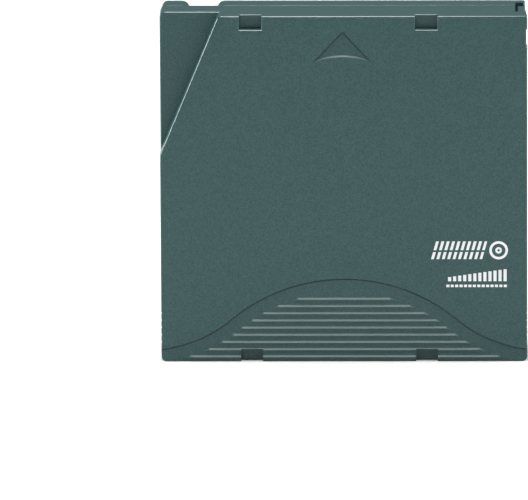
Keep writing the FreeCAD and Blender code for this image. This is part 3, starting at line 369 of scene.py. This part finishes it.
# ---------------------------------------------------------------- springs, wound as wire
def coil(name, centre, axis, radius, wire_r, length, turns, per_turn, sides, rise=0.6):
    """Round wire wound about a line; the end turns lie closer together, as ground ends do."""
    n = turns * per_turn
    t = np.linspace(0.0, 1.0, n + 1)
    ends = 1.0 / turns
    speed = np.ones(n + 1)
    speed[(t < ends * 0.75) | (t > 1 - ends * 0.75)] = rise
    along = np.concatenate([[0.0], np.cumsum((speed[1:] + speed[:-1]) / 2)])
    along = along / along[-1] * (length - 2 * wire_r) + wire_r
    ang = t * turns * 2 * math.pi
    line = np.stack([radius * np.cos(ang), radius * np.sin(ang), along], 1)
    tang = np.gradient(line, axis=0)
    tang /= np.linalg.norm(tang, axis=1)[:, None]
    out_dir = np.stack([np.cos(ang), np.sin(ang), np.zeros(n + 1)], 1)
    up_dir = np.cross(tang, out_dir)
    up_dir /= np.linalg.norm(up_dir, axis=1)[:, None]
    ph = np.arange(sides) * 2 * math.pi / sides
    ringpts = (line[:, None, :] + wire_r * (np.cos(ph)[None, :, None] * out_dir[:, None, :]
                                            + np.sin(ph)[None, :, None] * up_dir[:, None, :]))
    pts = ringpts.reshape(-1, 3)
    if axis == "y":
        pts = np.stack([pts[:, 0], pts[:, 2], -pts[:, 1]], 1)
    pts = pts + np.array(centre)
    faces = []
    for i in range(n):
        for k in range(sides):
            a, b = i * sides + k, i * sides + (k + 1) % sides
            faces.append((a, b, b + sides, a + sides))
    faces.append(tuple(reversed(range(sides))))
    faces.append(tuple(n * sides + k for k in range(sides)))
    me = bpy.data.meshes.new(name)
    me.from_pydata(pts.tolist(), [], faces)
    me.validate()
    o = bpy.data.objects.new(name, me)
    SCENE.collection.objects.link(o)
    for p in me.polygons:
        p.use_smooth = len(p.vertices) == 4
    return o


lo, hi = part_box("door_spring")
mid = (lo + hi) / 2
wire_r = 0.00014
spring_a = coil("door_spring_wire", (mid.x, mid.y, lo.z), "z", (hi.x - lo.x) / 2 - wire_r, wire_r,
                hi.z - lo.z, 18, 28, 8)
lo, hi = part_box("brake_spring")
mid = (lo + hi) / 2
wire_r = 0.00045
spring_b = coil("brake_spring_wire", (mid.x, lo.y, mid.z), "y", (hi.x - lo.x) / 2 - wire_r, wire_r,
                hi.y - lo.y, 5, 48, 12)
for o, node in ((spring_a, "door_spring"), (spring_b, "brake_spring")):
    wire.give(o)
    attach(o, "case")
    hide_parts(node)
lo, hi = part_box("door_spring")
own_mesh(spring_a)
lo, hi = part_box("brake_spring")
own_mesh(spring_b)


# ---------------------------------------------------------------- floor, light and camera
me = bpy.data.meshes.new("floor")
me.from_pydata([(-6, -6, 0), (6, -6, 0), (6, 6, 0), (-6, 6, 0)], [], [(0, 1, 2, 3)])
floor = bpy.data.objects.new("floor", me)
SCENE.collection.objects.link(floor)
fm = bpy.data.materials.new("pale_floor")
fm.use_nodes = True
fb = fm.node_tree.nodes["Principled BSDF"]
fb.inputs["Base Color"].default_value = (0.86, 0.86, 0.86, 1)
fb.inputs["Roughness"].default_value = 0.9
fb.inputs["Specular IOR Level"].default_value = 0.0
me.materials.append(fm)

world = bpy.data.worlds.new("studio")
SCENE.world = world
world.use_nodes = True
wt = world.node_tree
bg = wt.nodes["Background"]
bg.inputs["Color"].default_value = (1, 1, 1, 1)
bg.inputs["Strength"].default_value = 0.14
back = wt.nodes.new("ShaderNodeBackground")      # plain white where the backdrop itself is seen
back.inputs["Color"].default_value = (1, 1, 1, 1)
back.inputs["Strength"].default_value = 1.0
path = wt.nodes.new("ShaderNodeLightPath")
both = wt.nodes.new("ShaderNodeMixShader")
wt.links.new(path.outputs["Is Camera Ray"], both.inputs[0])
wt.links.new(bg.outputs[0], both.inputs[1])
wt.links.new(back.outputs[0], both.inputs[2])
wt.links.new(both.outputs[0], wt.nodes["World Output"].inputs["Surface"])


def softbox(name, at, aim, size, radiance):
    """Rectangular light at a point, facing another; its long side is size[1], towards the aim's up direction."""
    d = bpy.data.lights.new(name, "AREA")
    d.shape = "RECTANGLE"
    d.size, d.size_y = size
    d.energy = radiance * math.pi * size[0] * size[1]
    o = bpy.data.objects.new(name, d)
    SCENE.collection.objects.link(o)
    o.location = at
    o.rotation_mode = "QUATERNION"
    o.rotation_quaternion = (Vector(aim) - Vector(at)).to_track_quat("-Z", "Y")
    o.visible_camera = False
    return o


softbox("overhead_strip", (-0.035, -0.36, 1.25), (-0.035, -0.36, 0.0), (0.17, 1.7), 21.0)
softbox("key_softbox", (0.75, -1.25, 0.95), (0.0, 0.0, 0.05), (0.8, 0.8), 0.4)
softbox("fill_softbox", (-0.85, -1.45, 0.85), (0.0, 0.0, 0.05), (0.8, 0.8), 0.3)
softbox("right_softbox", (0.75, 0.00, 0.20), (0.0, 0.0, 0.10), (0.44, 0.22), 19.0)
softbox("left_softbox", (-0.75, -0.03, 0.20), (0.0, 0.0, 0.10), (0.44, 0.22), 25.0)
softbox("high_right_softbox", (0.87, -0.25, 0.94), (0.0, 0.0, 0.05), (0.36, 0.36), 6.0)
softbox("backdrop_light", (-0.2, 1.5, 1.5), (-0.2, 1.5, 0.0), (2.4, 1.6), 1.6)

SCENE.view_settings.view_transform = "Standard"
SCENE.view_settings.look = "None"
SCENE.view_settings.exposure = 0.0
SCENE.view_settings.gamma = 1.0

# 528 x 500 frame; distance, place, turn and focal length (in pixels) that the outline fits
DIST, CAM_X, ELEV = 3.3, 0.04006, 13.4502
YAW, PITCH, ROLL, FOCAL = -1.1289, 13.7922, -0.3219, 11462.42
cam = bpy.data.cameras.new("camera")
cam.sensor_fit = "HORIZONTAL"
cam.sensor_width = 36.0
cam.lens = FOCAL / 528.0 * 36.0
cam.clip_start, cam.clip_end = 0.05, 60.0
co = bpy.data.objects.new("camera", cam)
SCENE.collection.objects.link(co)
co.location = (CAM_X, -DIST * math.cos(math.radians(ELEV)), 0.051 + DIST * math.sin(math.radians(ELEV)))
yaw, pitch, roll = (math.radians(v) for v in (YAW, PITCH, ROLL))
look = Vector((math.sin(yaw) * math.cos(pitch), math.cos(yaw) * math.cos(pitch), -math.sin(pitch)))
right = look.cross(Vector((0, 0, 1))).normalized()
above = right.cross(look)
cam_x = right * math.cos(roll) + above * math.sin(roll)
cam_y = above * math.cos(roll) - right * math.sin(roll)
co.rotation_mode = "QUATERNION"
co.rotation_quaternion = Matrix((cam_x, cam_y, -look)).transposed().to_quaternion()
SCENE.camera = co
